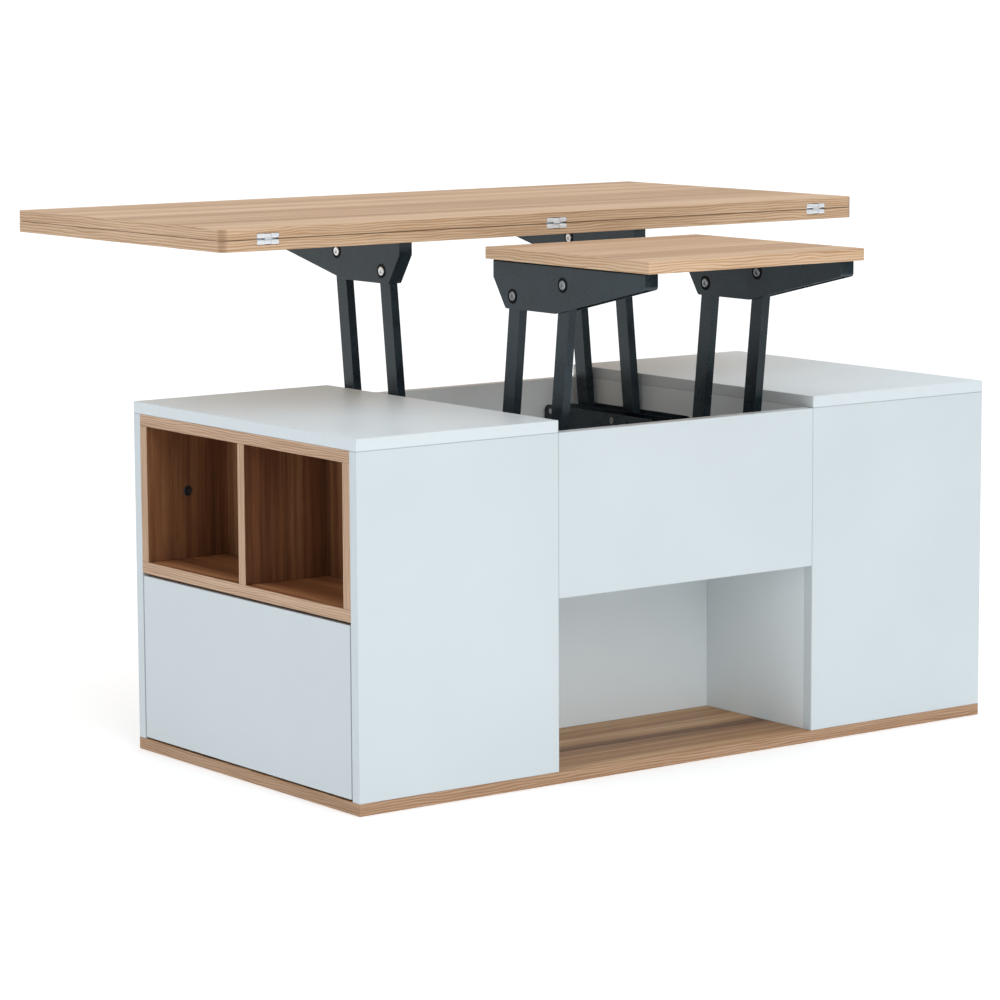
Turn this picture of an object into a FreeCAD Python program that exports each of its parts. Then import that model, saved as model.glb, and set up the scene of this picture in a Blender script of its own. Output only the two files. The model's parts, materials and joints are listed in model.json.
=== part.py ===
import FreeCAD, Part
import math
import os
import re

import Sketcher
from FreeCAD import Placement, Rotation, Vector

# Lift top coffee table, in millimetres. X runs along the table, +Y to the back and +Z up; the
# origin is the centre of the base board's underside. The table is modelled with both of its tops
# raised, the folding leaf folded and the drawers shut.

ARM_LENGTH = 243.0
LEAN = 6.4

SIZES = {
    # Boards of the carcass.
    "table_length": 1000,
    "table_depth": 500,
    "board": 15,
    "carcass_height": 448.5,
    "cabinet_length": 296,
    "shelf_level": 230,
    "niche_back": -41,
    # Cubby inserts and the caps over their screws.
    "cubby_depth": 120,
    "cap_radius": 6.5,
    "cap_thickness": 1.2,
    # Drawers and their runners.
    "drawer_gap": 2.5,
    "drawer_top_gap": 3.5,
    "drawer_wall": 12,
    "drawer_inset": 13,
    "drawer_box_bottom": 30,
    "drawer_box_top": 180,
    "drawer_box_length": 250,
    "drawer_floor_level": 38,
    "drawer_floor": 5,
    "runner_level": 105,
    "runner_metal": 1.5,
    "outer_runner_height": 36,
    "inner_runner_height": 30,
    "runner_depth": 10,
    # Lift base: a channel with two lanes on each inner wall.
    "metal": 2,
    "base_inner": 140,
    "base_outer": 204,
    "base_divider": 172,
    "base_bottom": 322,
    "base_top": 400,
    "base_front_top": 380,
    "base_front": -205,
    "base_back": 231,
    "step_front": -25,
    "step_back": 0,
    "base_round": 9,
    "rivet_level": 391,
    "rivet_along": 83,
    "hole_along": 50,
    "hole_radius": 2.2,
    "slot_front": 217.5,
    "slot_back": 221,
    "slot_radius": 3.6,
    # Linkages: each pair of arms and its bracket make a parallelogram.
    "arm_length": ARM_LENGTH,
    "lean": LEAN,
    "arm_rise": ARM_LENGTH * math.cos(math.radians(LEAN)),
    "arm_reach": ARM_LENGTH * math.sin(math.radians(LEAN)),
    "arm_width": 12,
    "arm_depth": 22,
    "pivot_spacing": 102,
    "pivot_step": 20,
    "large_lane": 191,
    "small_lane": 155,
    "large_pivot_y": 202,
    "large_pivot_z": 384.3,
    "small_pivot_y": -79,
    "small_pivot_z": 345.5,
    # Pivot pins: a running fit in the arms, with more room at the open pivots.
    "pin_radius": 4,
    "running_gap": 0.05,
    "open_gap": 0.4,
    "head_radius": 6.25,
    "head_thickness": 1.5,
    # Torsion springs round the lower pins of the rear arms.
    "spring_inside": 5.5,
    "spring_outside": 9,
    "spring_length": 8.4,
    "spring_gap": 0.6,
    # Brackets under the tops.
    "bracket_width": 20,
    "bracket_length": 302,
    "bracket_height": 60,
    "bracket_face": 22,
    "bracket_toe": 25,
    "bracket_heel": 127,
    "bracket_tip": 20,
    "bracket_round": 5,
    "bracket_bend": 3,
    "deep_pivot": 40,
    "deep_drop": 44,
    # Screws.
    "screw_radius": 2,
    "screw_length": 10,
    "screw_head_radius": 4,
    "screw_head": 2.2,
    # Tops.
    "large_length": 1021,
    "large_depth": 495,
    "large_front": 19.1,
    "leaf": 14,
    "leaf_gap": 0.4,
    "corner_radius": 11,
    "small_length": 340,
    "small_depth": 325,
    "small_back": -56.5,
    "small_board": 15,
    # Flush hinges of the folding leaf.
    "hinge_spacing": 443,
    "hinge_width": 32,
    "hinge_height": 7.2,
    "hinge_body": 12,
    "hinge_slot": 11,
    "hinge_slot_depth": 6,
    "ear_height": 2.6,
    "knuckle_radius": 2.2,
    "middle_ear": 3,
    "outer_ears": 10,
    "ear_gap": 0.3,
    "hinge_pin": 1,
}

LEFT, RIGHT = -1, 1
SIDES = {"left": LEFT, "right": RIGHT}
HALF_LENGTH = "table_length / 2"
HALF_DEPTH = "table_depth / 2"
INSIDE = "(table_length / 2 - cabinet_length)"
INSERT_Y = "(table_depth / 2 - board)"
PANEL_TOP = "(carcass_height - board)"
LARGE_UNDERSIDE = "(large_pivot_z + arm_rise + deep_drop - pivot_step)"
SMALL_UNDERSIDE = "(small_pivot_z + arm_rise + deep_drop)"
SEAM = f"({LARGE_UNDERSIDE} + leaf + leaf_gap / 2)"
FOLD_Y = "(large_front - leaf_gap)"
SCREW_ALONG_BRACKET = ("75", "205")
SCREW_ALONG_BASE = ("-150", "-40", "40", "150")
BASE_SCREW_Z = "(base_bottom + 16)"
ALONG = {
    "x": Rotation(Vector(0, 0, 1), Vector(1, 0, 0)),
    "y": Rotation(Vector(0, 0, 1), Vector(0, 1, 0)),
    "z": Rotation(),
}

doc = FreeCAD.newDocument("lift_top_table")
sheet = doc.addObject("Spreadsheet::Sheet", "Sheet")
nodes = []


def fill_sheet():
    for row, (name, value) in enumerate(SIZES.items(), start=1):
        sheet.set(f"A{row}", name)
        sheet.set(f"B{row}", str(value))
        sheet.setAlias(f"B{row}", name)
    doc.recompute()


def cells(formula):
    """A formula in the sheet's names, as an expression that reads the sheet's cells."""
    def cell(word):
        name = word.group()
        return f"Sheet.{name}" if name in SIZES else name
    return re.sub(r"[a-z]\w*", cell, formula)


def bind(obj, prop, formula):
    """Bind a property to a formula in the sheet's names."""
    obj.setExpression(prop, cells(formula))


def value_of(formula):
    """The present value of a formula, to draw a sketch near its bound size."""
    return float(sheet.evalExpression(cells(formula)))


def place(obj, x="0", y="0", z="0", rotation=None):
    """Put an object at a point given by three formulas."""
    obj.Placement = Placement(Vector(), rotation or Rotation())
    for axis, formula in zip("xyz", (x, y, z)):
        bind(obj, f"Placement.Base.{axis}", formula)


def mirrored(side, near, far):
    """A span along X from near to far on one side of the middle, as its low and high formulas."""
    if side == RIGHT:
        return near, far
    return f"-({far})", f"-({near})"


def signed(sign, formula):
    return formula if sign > 0 else f"-({formula})"


def keep(obj):
    """Make an object one of the table's pieces, to be written as a node."""
    nodes.append(obj)
    return obj


def box(obj, x, y, z):
    """Size and place a box between the low and high formulas of each axis."""
    for prop, (low, high) in zip(("Length", "Width", "Height"), (x, y, z)):
        bind(obj, prop, f"({high}) - ({low})")
    place(obj, x[0], y[0], z[0])
    return obj


def board(label, x, y, z):
    return keep(box(doc.addObject("Part::Box", label), x, y, z))


def group(label, pieces):
    """Several like pieces that share one node."""
    compound = doc.addObject("Part::Compound", label)
    compound.Links = pieces
    return keep(compound)


def new_body(label):
    return doc.addObject("PartDesign::Body", label)


def block(body, x, y, z, cut=False):
    """Add a box to a body, or cut one out of it."""
    kind = "SubtractiveBox" if cut else "AdditiveBox"
    return box(body.newObject(f"PartDesign::{kind}", f"{body.Name}_block"), x, y, z)


def rod(body, axis, radius, start, length, cut=True):
    """Drill a round hole in a body along an axis, or add a round rod to it."""
    kind = "SubtractiveCylinder" if cut else "AdditiveCylinder"
    feature = body.newObject(f"PartDesign::{kind}", f"{body.Name}_rod")
    bind(feature, "Radius", radius)
    bind(feature, "Height", length)
    place(feature, *start, rotation=ALONG[axis])
    return feature


def outline(body, plane, points):
    """A closed sketch through points on one of a body's own planes, each coordinate bound."""
    sketch = body.newObject("Sketcher::SketchObject", f"{body.Name}_outline")
    origin_plane = next(o for o in body.Origin.OriginFeatures if o.Role == plane)
    sketch.AttachmentSupport = [(origin_plane, "")]
    sketch.MapMode = "FlatFace"
    values = [tuple(value_of(formula) for formula in point) for point in points]
    for start, end in zip(values, values[1:] + values[:1]):
        sketch.addGeometry(Part.LineSegment(Vector(*start, 0), Vector(*end, 0)))
    for line in range(len(points)):
        sketch.addConstraint(Sketcher.Constraint("Coincident", line, 2, (line + 1) % len(points), 1))
    for line, (point, value) in enumerate(zip(points, values)):
        for kind, formula, size in zip(("DistanceX", "DistanceY"), point, value):
            number = sketch.addConstraint(Sketcher.Constraint(kind, -1, 1, line, 1, size))
            bind(sketch, f"Constraints[{number}]", formula)
    return sketch


def pad(body, sketch, length):
    """Extrude a sketch evenly to both sides of its plane."""
    feature = body.newObject("PartDesign::Pad", f"{body.Name}_pad")
    feature.Profile = sketch
    feature.Midplane = True
    bind(feature, "Length", length)
    return feature


def pocket(body, sketch, length):
    """Cut a sketch evenly to both sides of its plane."""
    feature = body.newObject("PartDesign::Pocket", f"{body.Name}_pocket")
    feature.Profile = sketch
    feature.Midplane = True
    bind(feature, "Length", length)
    return feature


def turned(label, points, position, rotation=None):
    """A solid of revolution: points give the distance along its axis and the radius."""
    body = new_body(label)
    feature = body.newObject("PartDesign::Revolution", f"{label}_turn")
    sketch = outline(body, "XY_Plane", points)
    feature.Profile = sketch
    feature.ReferenceAxis = (sketch, ["H_Axis"])
    feature.Angle = 360
    place(body, *position, rotation=rotation)
    return body


def round_edges(body, feature, radius, direction, corners):
    """Round the edges of a feature that run along one axis through the given corners."""
    doc.recompute()
    picked = []
    for number, edge in enumerate(feature.Shape.Edges, start=1):
        run = edge.lastVertex().Point - edge.firstVertex().Point
        along = abs(run.dot(direction)) > 0.99 * edge.Length
        middle = edge.CenterOfMass
        across = middle - direction * middle.dot(direction)
        if along and any((across - corner).Length < 0.01 for corner in corners):
            picked.append(f"Edge{number}")
    fillet = body.newObject("PartDesign::Fillet", f"{body.Name}_round")
    fillet.Base = (feature, picked)
    bind(fillet, "Radius", radius)
    return fillet


# Carcass

def carcass():
    board("base_board", (f"-{HALF_LENGTH}", HALF_LENGTH), (f"-{HALF_DEPTH}", HALF_DEPTH), ("0", "board"))
    for name, side in SIDES.items():
        whole = mirrored(side, INSIDE, HALF_LENGTH)
        wall = mirrored(side, INSIDE, f"{INSIDE} + board")
        upright = ("board", PANEL_TOP)
        board(f"{name}_front_panel", whole, (f"-{HALF_DEPTH}", f"-{INSERT_Y}"), upright)
        board(f"{name}_rear_panel", whole, (INSERT_Y, HALF_DEPTH), upright)
        board(f"{name}_top_panel", whole, (f"-{HALF_DEPTH}", HALF_DEPTH), (PANEL_TOP, "carcass_height"))
        inner_wall(name, side, wall, upright)
    middle = (f"-{INSIDE}", INSIDE)
    board("centre_front_panel", middle, (f"-{HALF_DEPTH}", f"-{INSERT_Y}"), ("shelf_level", PANEL_TOP))
    board("centre_rear_panel", middle, (INSERT_Y, HALF_DEPTH), ("shelf_level", PANEL_TOP))
    board("mechanism_shelf", middle, (f"-{INSERT_Y}", INSERT_Y), ("shelf_level", "shelf_level + board"))
    board("niche_back", middle, ("niche_back", "niche_back + board"), ("board", "shelf_level"))


def inner_wall(name, side, x, z):
    """The cabinet wall that carries a lift base, drilled for its screws."""
    body = keep(new_body(f"{name}_inner_wall"))
    block(body, x, (f"-{INSERT_Y}", INSERT_Y), z)
    hole_x, _ = mirrored(side, INSIDE, f"{INSIDE} + screw_length")
    for y in SCREW_ALONG_BASE:
        rod(body, "x", "screw_radius + running_gap", (hole_x, y, BASE_SCREW_Z), "screw_length")


def cubby(name, side):
    """An open insert with two compartments, above the drawer."""
    floor = "(shelf_level + board)"
    ceiling = f"({PANEL_TOP} - board)"
    front = f"({HALF_LENGTH} - cubby_depth)"
    open_part = mirrored(side, front, HALF_LENGTH)
    inside_y = f"({INSERT_Y} - board)"
    board(f"{name}_cubby_top", open_part, (f"-{INSERT_Y}", INSERT_Y), (ceiling, PANEL_TOP))
    board(f"{name}_cubby_bottom", open_part, (f"-{INSERT_Y}", INSERT_Y), ("shelf_level", floor))
    board(f"{name}_cubby_divider", open_part, ("-board / 2", "board / 2"), (floor, ceiling))
    back = mirrored(side, f"{front} - board", front)
    board(f"{name}_cubby_back", back, (f"-{INSERT_Y}", INSERT_Y), ("shelf_level", PANEL_TOP))
    sides = []
    for end, (low, high) in (("front", (f"-{INSERT_Y}", f"-{inside_y}")), ("rear", (inside_y, INSERT_Y))):
        piece = doc.addObject("Part::Box", f"{name}_cubby_{end}_side")
        sides.append(box(piece, open_part, (low, high), (floor, ceiling)))
    group(f"{name}_cubby_sides", sides)


def cubby_caps():
    """Round caps over the screws, half way along each side board of both inserts."""
    caps = []
    for name, side in SIDES.items():
        for end, low in (("front", f"-({INSERT_Y} - board)"), ("rear", f"{INSERT_Y} - board - cap_thickness")):
            cap = doc.addObject("Part::Cylinder", f"{name}_{end}_cap")
            bind(cap, "Radius", "cap_radius")
            bind(cap, "Height", "cap_thickness")
            x = signed(side, f"{HALF_LENGTH} - cubby_depth / 2")
            z = f"(shelf_level + {PANEL_TOP}) / 2"
            place(cap, x, low, z, rotation=ALONG["y"])
            caps.append(cap)
    group("cubby_screw_caps", caps)


# Drawers

def drawer(name, side):
    shut = f"({HALF_LENGTH} - board)"
    back = f"({shut} - drawer_box_length)"
    outer_y = f"({INSERT_Y} - drawer_inset)"
    inner_y = f"({outer_y} - drawer_wall)"
    height = ("drawer_box_bottom", "drawer_box_top")
    front_y = f"({INSERT_Y} - drawer_gap)"
    front_z = ("board + drawer_gap", "shelf_level - drawer_top_gap")
    board(f"{name}_drawer_front", mirrored(side, shut, HALF_LENGTH), (f"-{front_y}", front_y), front_z)
    walls = []
    for wall, x, y in (
        ("front_wall", (back, shut), (f"-{outer_y}", f"-{inner_y}")),
        ("rear_wall", (back, shut), (inner_y, outer_y)),
        ("end_wall", (back, f"{back} + drawer_wall"), (f"-{inner_y}", inner_y)),
    ):
        piece = doc.addObject("Part::Box", f"{name}_drawer_{wall}")
        walls.append(box(piece, mirrored(side, *x), y, height))
    group(f"{name}_drawer_walls", walls)
    floor_z = ("drawer_floor_level", "drawer_floor_level + drawer_floor")
    floor_x = mirrored(side, f"{back} + drawer_wall", shut)
    board(f"{name}_drawer_bottom", floor_x, (f"-{inner_y}", inner_y), floor_z)
    rails = [
        runner(f"{name}_drawer_{end}_rail", side, wall_side, outer_y, "inner_runner_height", 1)
        for end, wall_side in (("front", -1), ("rear", 1))
    ]
    group(f"{name}_drawer_rails", rails)


def runner(label, side, wall_side, web_y, height, opens):
    """One member of a drawer runner: a channel along X whose web lies at web_y.

    opens is 1 where the channel opens away from the middle of the table, and -1 towards it."""
    web = wall_side * opens
    body = new_body(label)
    low, high = "0", "runner_depth"
    half = f"({height} / 2)"
    inside = f"({half} - runner_metal)"
    points = [
        (low, f"-{half}"), (high, f"-{half}"), (high, f"-{inside}"), ("runner_metal", f"-{inside}"),
        ("runner_metal", inside), (high, inside), (high, half), (low, half),
    ]
    points = [(signed(web, y), z) for y, z in points]
    pad(body, outline(body, "YZ_Plane", points), "drawer_box_length")
    x = signed(side, f"{HALF_LENGTH} - board - drawer_box_length / 2")
    place(body, x, signed(wall_side, web_y), "runner_level")
    return body


def cabinet_rails():
    rails = [
        runner(f"{name}_cabinet_{end}_rail", side, wall_side, INSERT_Y, "outer_runner_height", -1)
        for name, side in SIDES.items()
        for end, wall_side in (("front", -1), ("rear", 1))
    ]
    group("drawer_cabinet_rails", rails)


# Lift mechanism

def large_pivots():
    """The lower pivots of the large linkage, rear then front."""
    return (
        ("large_pivot_y", "large_pivot_z"),
        ("large_pivot_y - pivot_spacing", "large_pivot_z - pivot_step"),
    )


def small_pivots():
    """The lower pivots of the small linkage, rear then front."""
    return (
        ("small_pivot_y", "small_pivot_z"),
        ("small_pivot_y - pivot_spacing", "small_pivot_z + pivot_step"),
    )


def raised(pivot, lean_side):
    """The upper pivot over a lower one, leaning to the back for 1 and to the front for -1."""
    y, z = pivot
    return f"{y} + {lean_side} * arm_reach", f"{z} + arm_rise"


def lift_base(name, side):
    """A channel with two lanes, screwed to the inner wall; its plates are lower at the front and
    rounded at the back."""
    body = keep(new_body(f"{name}_lift_base"))
    floor = "base_bottom + metal"
    plates = [
        ("base_inner", "base_bottom"), ("base_outer", "base_bottom"), ("base_outer", "base_top"),
        ("base_outer - metal", "base_top"), ("base_outer - metal", floor),
        ("base_divider + metal", floor), ("base_divider + metal", "base_top"),
        ("base_divider", "base_top"), ("base_divider", floor),
        ("base_inner + metal", floor), ("base_inner + metal", "base_top"), ("base_inner", "base_top"),
    ]
    section = [(signed(side, x), z) for x, z in plates]
    pad(body, outline(body, "XZ_Plane", section), "base_back - base_front")
    centre = "(base_front + base_back) / 2"
    over = "base_top + metal"
    step = [
        (f"base_front - metal - {centre}", "base_front_top"), (f"step_front - {centre}", "base_front_top"),
        (f"step_back - {centre}", "base_top"), (f"step_back - {centre}", over),
        (f"base_front - metal - {centre}", over),
    ]
    lowered = pocket(body, outline(body, "YZ_Plane", step), "4 * base_outer")
    corner = Vector(0, value_of(f"base_back - {centre}"), value_of("base_top"))
    round_edges(body, lowered, "base_round", Vector(1, 0, 0), [corner])
    lanes = (
        (large_pivots(), "base_divider - metal", "base_outer + metal"),
        (small_pivots(), "base_inner - metal", "base_divider + 2 * metal"),
    )
    for pivots, near, far in lanes:
        x, _ = mirrored(side, near, far)
        for y, z in pivots:
            hole = (x, f"{y} - {centre}", z)
            rod(body, "x", "pin_radius + running_gap", hole, f"{far} - ({near})")
    plate_x, _ = mirrored(side, "base_inner - metal", "base_inner + 2 * metal")
    plate_holes = (
        ("rivet_along", "pin_radius + running_gap"), ("hole_along", "hole_radius"),
        ("slot_front", "slot_radius"), ("slot_back", "slot_radius"),
    )
    for y, radius in plate_holes:
        rod(body, "x", radius, (plate_x, f"{y} - {centre}", "rivet_level"), "3 * metal")
    slot = (f"slot_front - {centre}", f"slot_back - {centre}")
    plate = mirrored(side, "base_inner - metal", "base_inner + 2 * metal")
    block(body, plate, slot, ("rivet_level - slot_radius", "rivet_level + slot_radius"), cut=True)
    screw_x, _ = mirrored(side, "base_outer - 2 * metal", "base_outer + metal")
    for y in SCREW_ALONG_BASE:
        hole = (screw_x, f"{y} - {centre}", BASE_SCREW_Z)
        rod(body, "x", "screw_radius + running_gap", hole, "3 * metal")
    place(body, y=centre)


def arm(label, lane, side, pivot, lean_side, upper_gap):
    """A channel-section arm with round ends, open to the back, from its lower pivot upwards."""
    body = keep(new_body(label))
    half = "arm_depth / 2"
    top = f"arm_length + {half}"
    sheet_sides = [(f"-{half}", f"-{half}"), (half, f"-{half}"), (half, top), (f"-{half}", top)]
    blank = pad(body, outline(body, "YZ_Plane", sheet_sides), "arm_width")
    r = SIZES["arm_depth"] / 2
    corners = [Vector(0, y, z) for y in (-r, r) for z in (-r, SIZES["arm_length"] + r)]
    round_edges(body, blank, f"{half} - running_gap", Vector(1, 0, 0), corners)
    channel = ("-arm_width / 2 + metal", "arm_width / 2 - metal")
    block(body, channel, (f"-{half} + metal", "arm_depth"), ("-arm_depth", "arm_length + arm_depth"), cut=True)
    for height, gap in (("0", "running_gap"), ("arm_length", upper_gap)):
        rod(body, "x", f"pin_radius + {gap}", ("-arm_width", "0", height), "2 * arm_width")
    place(body, signed(side, lane), *pivot, rotation=Rotation(Vector(-lean_side, 0, 0), LEAN))
    bind(body, "Placement.Rotation.Angle", "lean")


def bracket(label, lane, side, deep_end_y, underside, tip_side):
    """A pressed channel under a top, closed at both ends and open below, deep at one end;
    tip_side is 1 where its tip points back."""
    body = keep(new_body(label))
    shape = [
        ("0", "0"), ("0", "-bracket_face"), ("bracket_toe", "-bracket_height"),
        ("bracket_heel", "-bracket_height"), ("bracket_length", "-bracket_tip"),
        ("bracket_length", "0"),
    ]
    shape = [(signed(tip_side, y), z) for y, z in shape]
    blank = pad(body, outline(body, "YZ_Plane", shape), "bracket_width")
    corners = [
        Vector(0, tip_side * SIZES[y], -SIZES[z])
        for y, z in (("bracket_toe", "bracket_height"), ("bracket_length", "bracket_tip"))
    ]
    blank = round_edges(body, blank, "bracket_round", Vector(1, 0, 0), corners)
    half = SIZES["bracket_width"] / 2
    round_edges(body, blank, "bracket_bend", Vector(0, 1, 0), [Vector(-half, 0, 0), Vector(half, 0, 0)])
    inside = [
        ("metal", "-metal"), ("metal", "-bracket_face"), ("bracket_toe + metal / 2", "-bracket_height"),
        ("bracket_toe + metal / 2", "-bracket_height - metal"),
        ("bracket_length - metal", "-bracket_height - metal"), ("bracket_length - metal", "-metal"),
    ]
    inside = [(signed(tip_side, y), z) for y, z in inside]
    pocket(body, outline(body, "YZ_Plane", inside), "bracket_width - 2 * metal")
    pivots = (("deep_pivot", "-deep_drop"), ("deep_pivot + pivot_spacing", "-deep_drop + pivot_step"))
    for y, z in pivots:
        hole = ("-bracket_width", signed(tip_side, y), z)
        rod(body, "x", "pin_radius + running_gap", hole, "2 * bracket_width")
    for y in SCREW_ALONG_BRACKET:
        hole = ("0", signed(tip_side, y), "-2 * metal")
        rod(body, "z", "screw_radius + running_gap", hole, "4 * metal")
    place(body, signed(side, lane), deep_end_y, underside)


def pin(label, x, pivot, head_ends=(True, True)):
    """A riveted pivot pin along X, with a bevelled head outside each plate it joins."""
    low, high = x
    length = f"(({high}) - ({low}))"
    rim = "head_thickness * 0.3"
    face = "head_radius * 0.65"
    start = [("-head_thickness", "0"), ("-head_thickness", face), (f"-{rim}", "head_radius"), ("0", "head_radius")]
    end = [
        (length, "head_radius"), (f"{length} + {rim}", "head_radius"),
        (f"{length} + head_thickness", face), (f"{length} + head_thickness", "0"),
    ]
    shank = [("0", "pin_radius")], [(length, "pin_radius")]
    points = (start + shank[0] if head_ends[0] else [("0", "0")] + shank[0])
    points += (shank[1] + end if head_ends[1] else shank[1] + [(length, "0")])
    return turned(label, points, (low, *pivot))


def base_pins():
    """The pins and rivets of the lift bases; those in the outer lane end flush in the plate by
    the wall, and each rivet ends flush inside the inner plate."""
    pins = []
    for name, side in SIDES.items():
        inner_lane = mirrored(side, "base_inner", "base_divider + metal")
        outer_lane = mirrored(side, "base_divider", "base_outer")
        heads = (True, False) if side == RIGHT else (False, True)
        for number, pivot in enumerate(small_pivots()):
            pins.append(pin(f"{name}_small_lower_pin_{number}", inner_lane, pivot))
        for number, pivot in enumerate(large_pivots()):
            pins.append(pin(f"{name}_large_lower_pin_{number}", outer_lane, pivot, heads))
        plate = mirrored(side, "base_inner", "base_inner + metal")
        pins.append(pin(f"{name}_plate_rivet", plate, ("rivet_along", "rivet_level"), heads))
    group("lift_base_pins", pins)


def upper_pins(label, lane, pivots, lean_side):
    pins = []
    for name, side in SIDES.items():
        half = "bracket_width / 2"
        x = mirrored(side, f"{lane} - {half}", f"{lane} + {half}")
        for number, pivot in enumerate(pivots):
            pins.append(pin(f"{name}_{label}_{number}", x, raised(pivot, lean_side)))
    group(label, pins)


def lift_springs():
    """The outer shape of each torsion spring, round the lower pin of a rear arm."""
    springs = []
    for name, side in SIDES.items():
        starts = (
            ("large", "base_divider + metal + spring_gap", large_pivots()[0]),
            ("small", "base_divider - spring_gap - spring_length", small_pivots()[0]),
        )
        for kind, near, pivot in starts:
            x, _ = mirrored(side, near, f"{near} + spring_length")
            ring = [
                ("0", "spring_inside"), ("spring_length", "spring_inside"),
                ("spring_length", "spring_outside"), ("0", "spring_outside"),
            ]
            springs.append(turned(f"{name}_{kind}_spring", ring, (x, *pivot)))
    group("lift_springs", springs)


def screw(label, position, rotation):
    """A round-headed screw whose local X runs from its head into the board."""
    points = [
        ("-screw_head", "0"), ("-screw_head", "screw_head_radius * 0.6"),
        ("-screw_head / 2", "screw_head_radius"), ("0", "screw_head_radius"), ("0", "screw_radius"),
        ("screw_length", "screw_radius"), ("screw_length + metal", "0"),
    ]
    return turned(label, points, position, rotation)


def base_screws():
    screws = []
    for name, side in SIDES.items():
        turn = Rotation(Vector(1, 0, 0), Vector(side, 0, 0))
        for number, y in enumerate(SCREW_ALONG_BASE):
            x = signed(side, "base_outer - metal")
            screws.append(screw(f"{name}_base_screw_{number}", (x, y, BASE_SCREW_Z), turn))
    group("lift_base_screws", screws)


def bracket_screws(label, lane, deep_end_y, underside, tip_side):
    screws = []
    upwards = Rotation(Vector(1, 0, 0), Vector(0, 0, 1))
    for name, side in SIDES.items():
        for number, along in enumerate(SCREW_ALONG_BRACKET):
            position = (signed(side, lane), f"{deep_end_y} + {tip_side} * {along}", f"{underside} - metal")
            screws.append(screw(f"{name}_{label}_{number}", position, upwards))
    group(label, screws)


def screw_holes(body, lane, deep_end_y, underside, tip_side):
    """Blind holes in the underside of a top for the screws of its brackets."""
    for side in (LEFT, RIGHT):
        for along in SCREW_ALONG_BRACKET:
            start = (signed(side, lane), f"{deep_end_y} + {tip_side} * {along}", f"{underside} - metal")
            rod(body, "z", "screw_radius + running_gap", start, "screw_length + 2 * metal")


# Tops

def leaf(label, underside):
    """One leaf of the large top, with rounded front corners and recesses for the hinges."""
    body = keep(new_body(label))
    half = "large_length / 2"
    top = f"{underside} + leaf"
    back = "large_front + large_depth"
    blank = block(body, (f"-{half}", half), ("large_front", back), (underside, top))
    x = SIZES["large_length"] / 2
    corners = [Vector(x, SIZES["large_front"], 0), Vector(-x, SIZES["large_front"], 0)]
    round_edges(body, blank, "corner_radius", Vector(0, 0, 1), corners)
    return body


def hinge_centres():
    return "-hinge_spacing", "0", "hinge_spacing"


def recess(body, low, high):
    """Cut the pockets of the hinges into the front edge of a leaf."""
    for x in hinge_centres():
        width = (f"{x} - hinge_width / 2 - running_gap", f"{x} + hinge_width / 2 + running_gap")
        depth = ("large_front - metal", "large_front + hinge_body")
        block(body, width, depth, (low, high), cut=True)


def leaf_hinge(label, up, ears):
    """Half of each flush hinge: a block let into the leaf's edge, with ears round the pin."""
    halves = []
    face = f"({SEAM} + {up} * leaf_gap / 2)"
    far = f"({face} + {up} * hinge_height)"
    low, high = (face, far) if up > 0 else (far, face)
    ear_face = f"({SEAM} + {up} * ear_gap)"
    ear_far = f"({ear_face} + {up} * ear_height)"
    ear_low, ear_high = (ear_face, ear_far) if up > 0 else (ear_far, ear_face)
    for number, x in enumerate(hinge_centres()):
        body = new_body(f"{label}_{number}")
        width = (f"{x} - hinge_width / 2", f"{x} + hinge_width / 2")
        block(body, width, ("large_front", "large_front + hinge_body"), (low, high))
        slot = (f"{x} - hinge_slot / 2", f"{x} + hinge_slot / 2")
        slot_z = (f"{low} - metal", f"{high} + metal")
        block(body, slot, ("large_front - metal", "large_front + hinge_slot_depth"), slot_z, cut=True)
        for near, ear in ears:
            ear_x = (f"{x} + {near}", f"{x} + {near} + {ear}")
            block(body, ear_x, (FOLD_Y, "large_front + hinge_slot_depth + metal"), (ear_low, ear_high))
            rod(body, "x", "knuckle_radius", (ear_x[0], FOLD_Y, SEAM), ear, cut=False)
        start = (f"{x} - hinge_width", FOLD_Y, SEAM)
        rod(body, "x", "hinge_pin + running_gap", start, "2 * hinge_width")
        halves.append(body)
    group(label, halves)


def hinge_pins():
    pins = []
    for number, x in enumerate(hinge_centres()):
        piece = doc.addObject("Part::Cylinder", f"hinge_pin_{number}")
        bind(piece, "Radius", "hinge_pin")
        bind(piece, "Height", "outer_ears")
        place(piece, f"{x} - outer_ears / 2", FOLD_Y, SEAM, rotation=ALONG["x"])
        pins.append(piece)
    group("leaf_hinge_pins", pins)


def large_top():
    lower = leaf("lower_leaf", LARGE_UNDERSIDE)
    seam_face = f"({LARGE_UNDERSIDE} + leaf)"
    recess(lower, f"{seam_face} - hinge_height", f"{seam_face} + metal")
    deep_end = "(large_pivot_y - pivot_spacing + arm_reach - deep_pivot)"
    screw_holes(lower, "large_lane", deep_end, LARGE_UNDERSIDE, 1)
    upper = leaf("upper_leaf", f"({SEAM} + leaf_gap / 2)")
    recess(upper, SEAM, f"{SEAM} + leaf_gap / 2 + hinge_height")
    outer = "(middle_ear / 2 + ear_gap)"
    outer_width = f"(outer_ears / 2 - {outer})"
    leaf_hinge("leaf_hinge_lower", -1, (("(-outer_ears / 2)", outer_width), (outer, outer_width)))
    leaf_hinge("leaf_hinge_upper", 1, (("(-middle_ear / 2)", "middle_ear"),))
    hinge_pins()
    for name, side in SIDES.items():
        bracket(f"{name}_large_bracket", "large_lane", side, deep_end, LARGE_UNDERSIDE, 1)
    bracket_screws("large_bracket_screws", "large_lane", deep_end, LARGE_UNDERSIDE, 1)
    upper_pins("large_pivot_pins", "large_lane", large_pivots(), 1)


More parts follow.
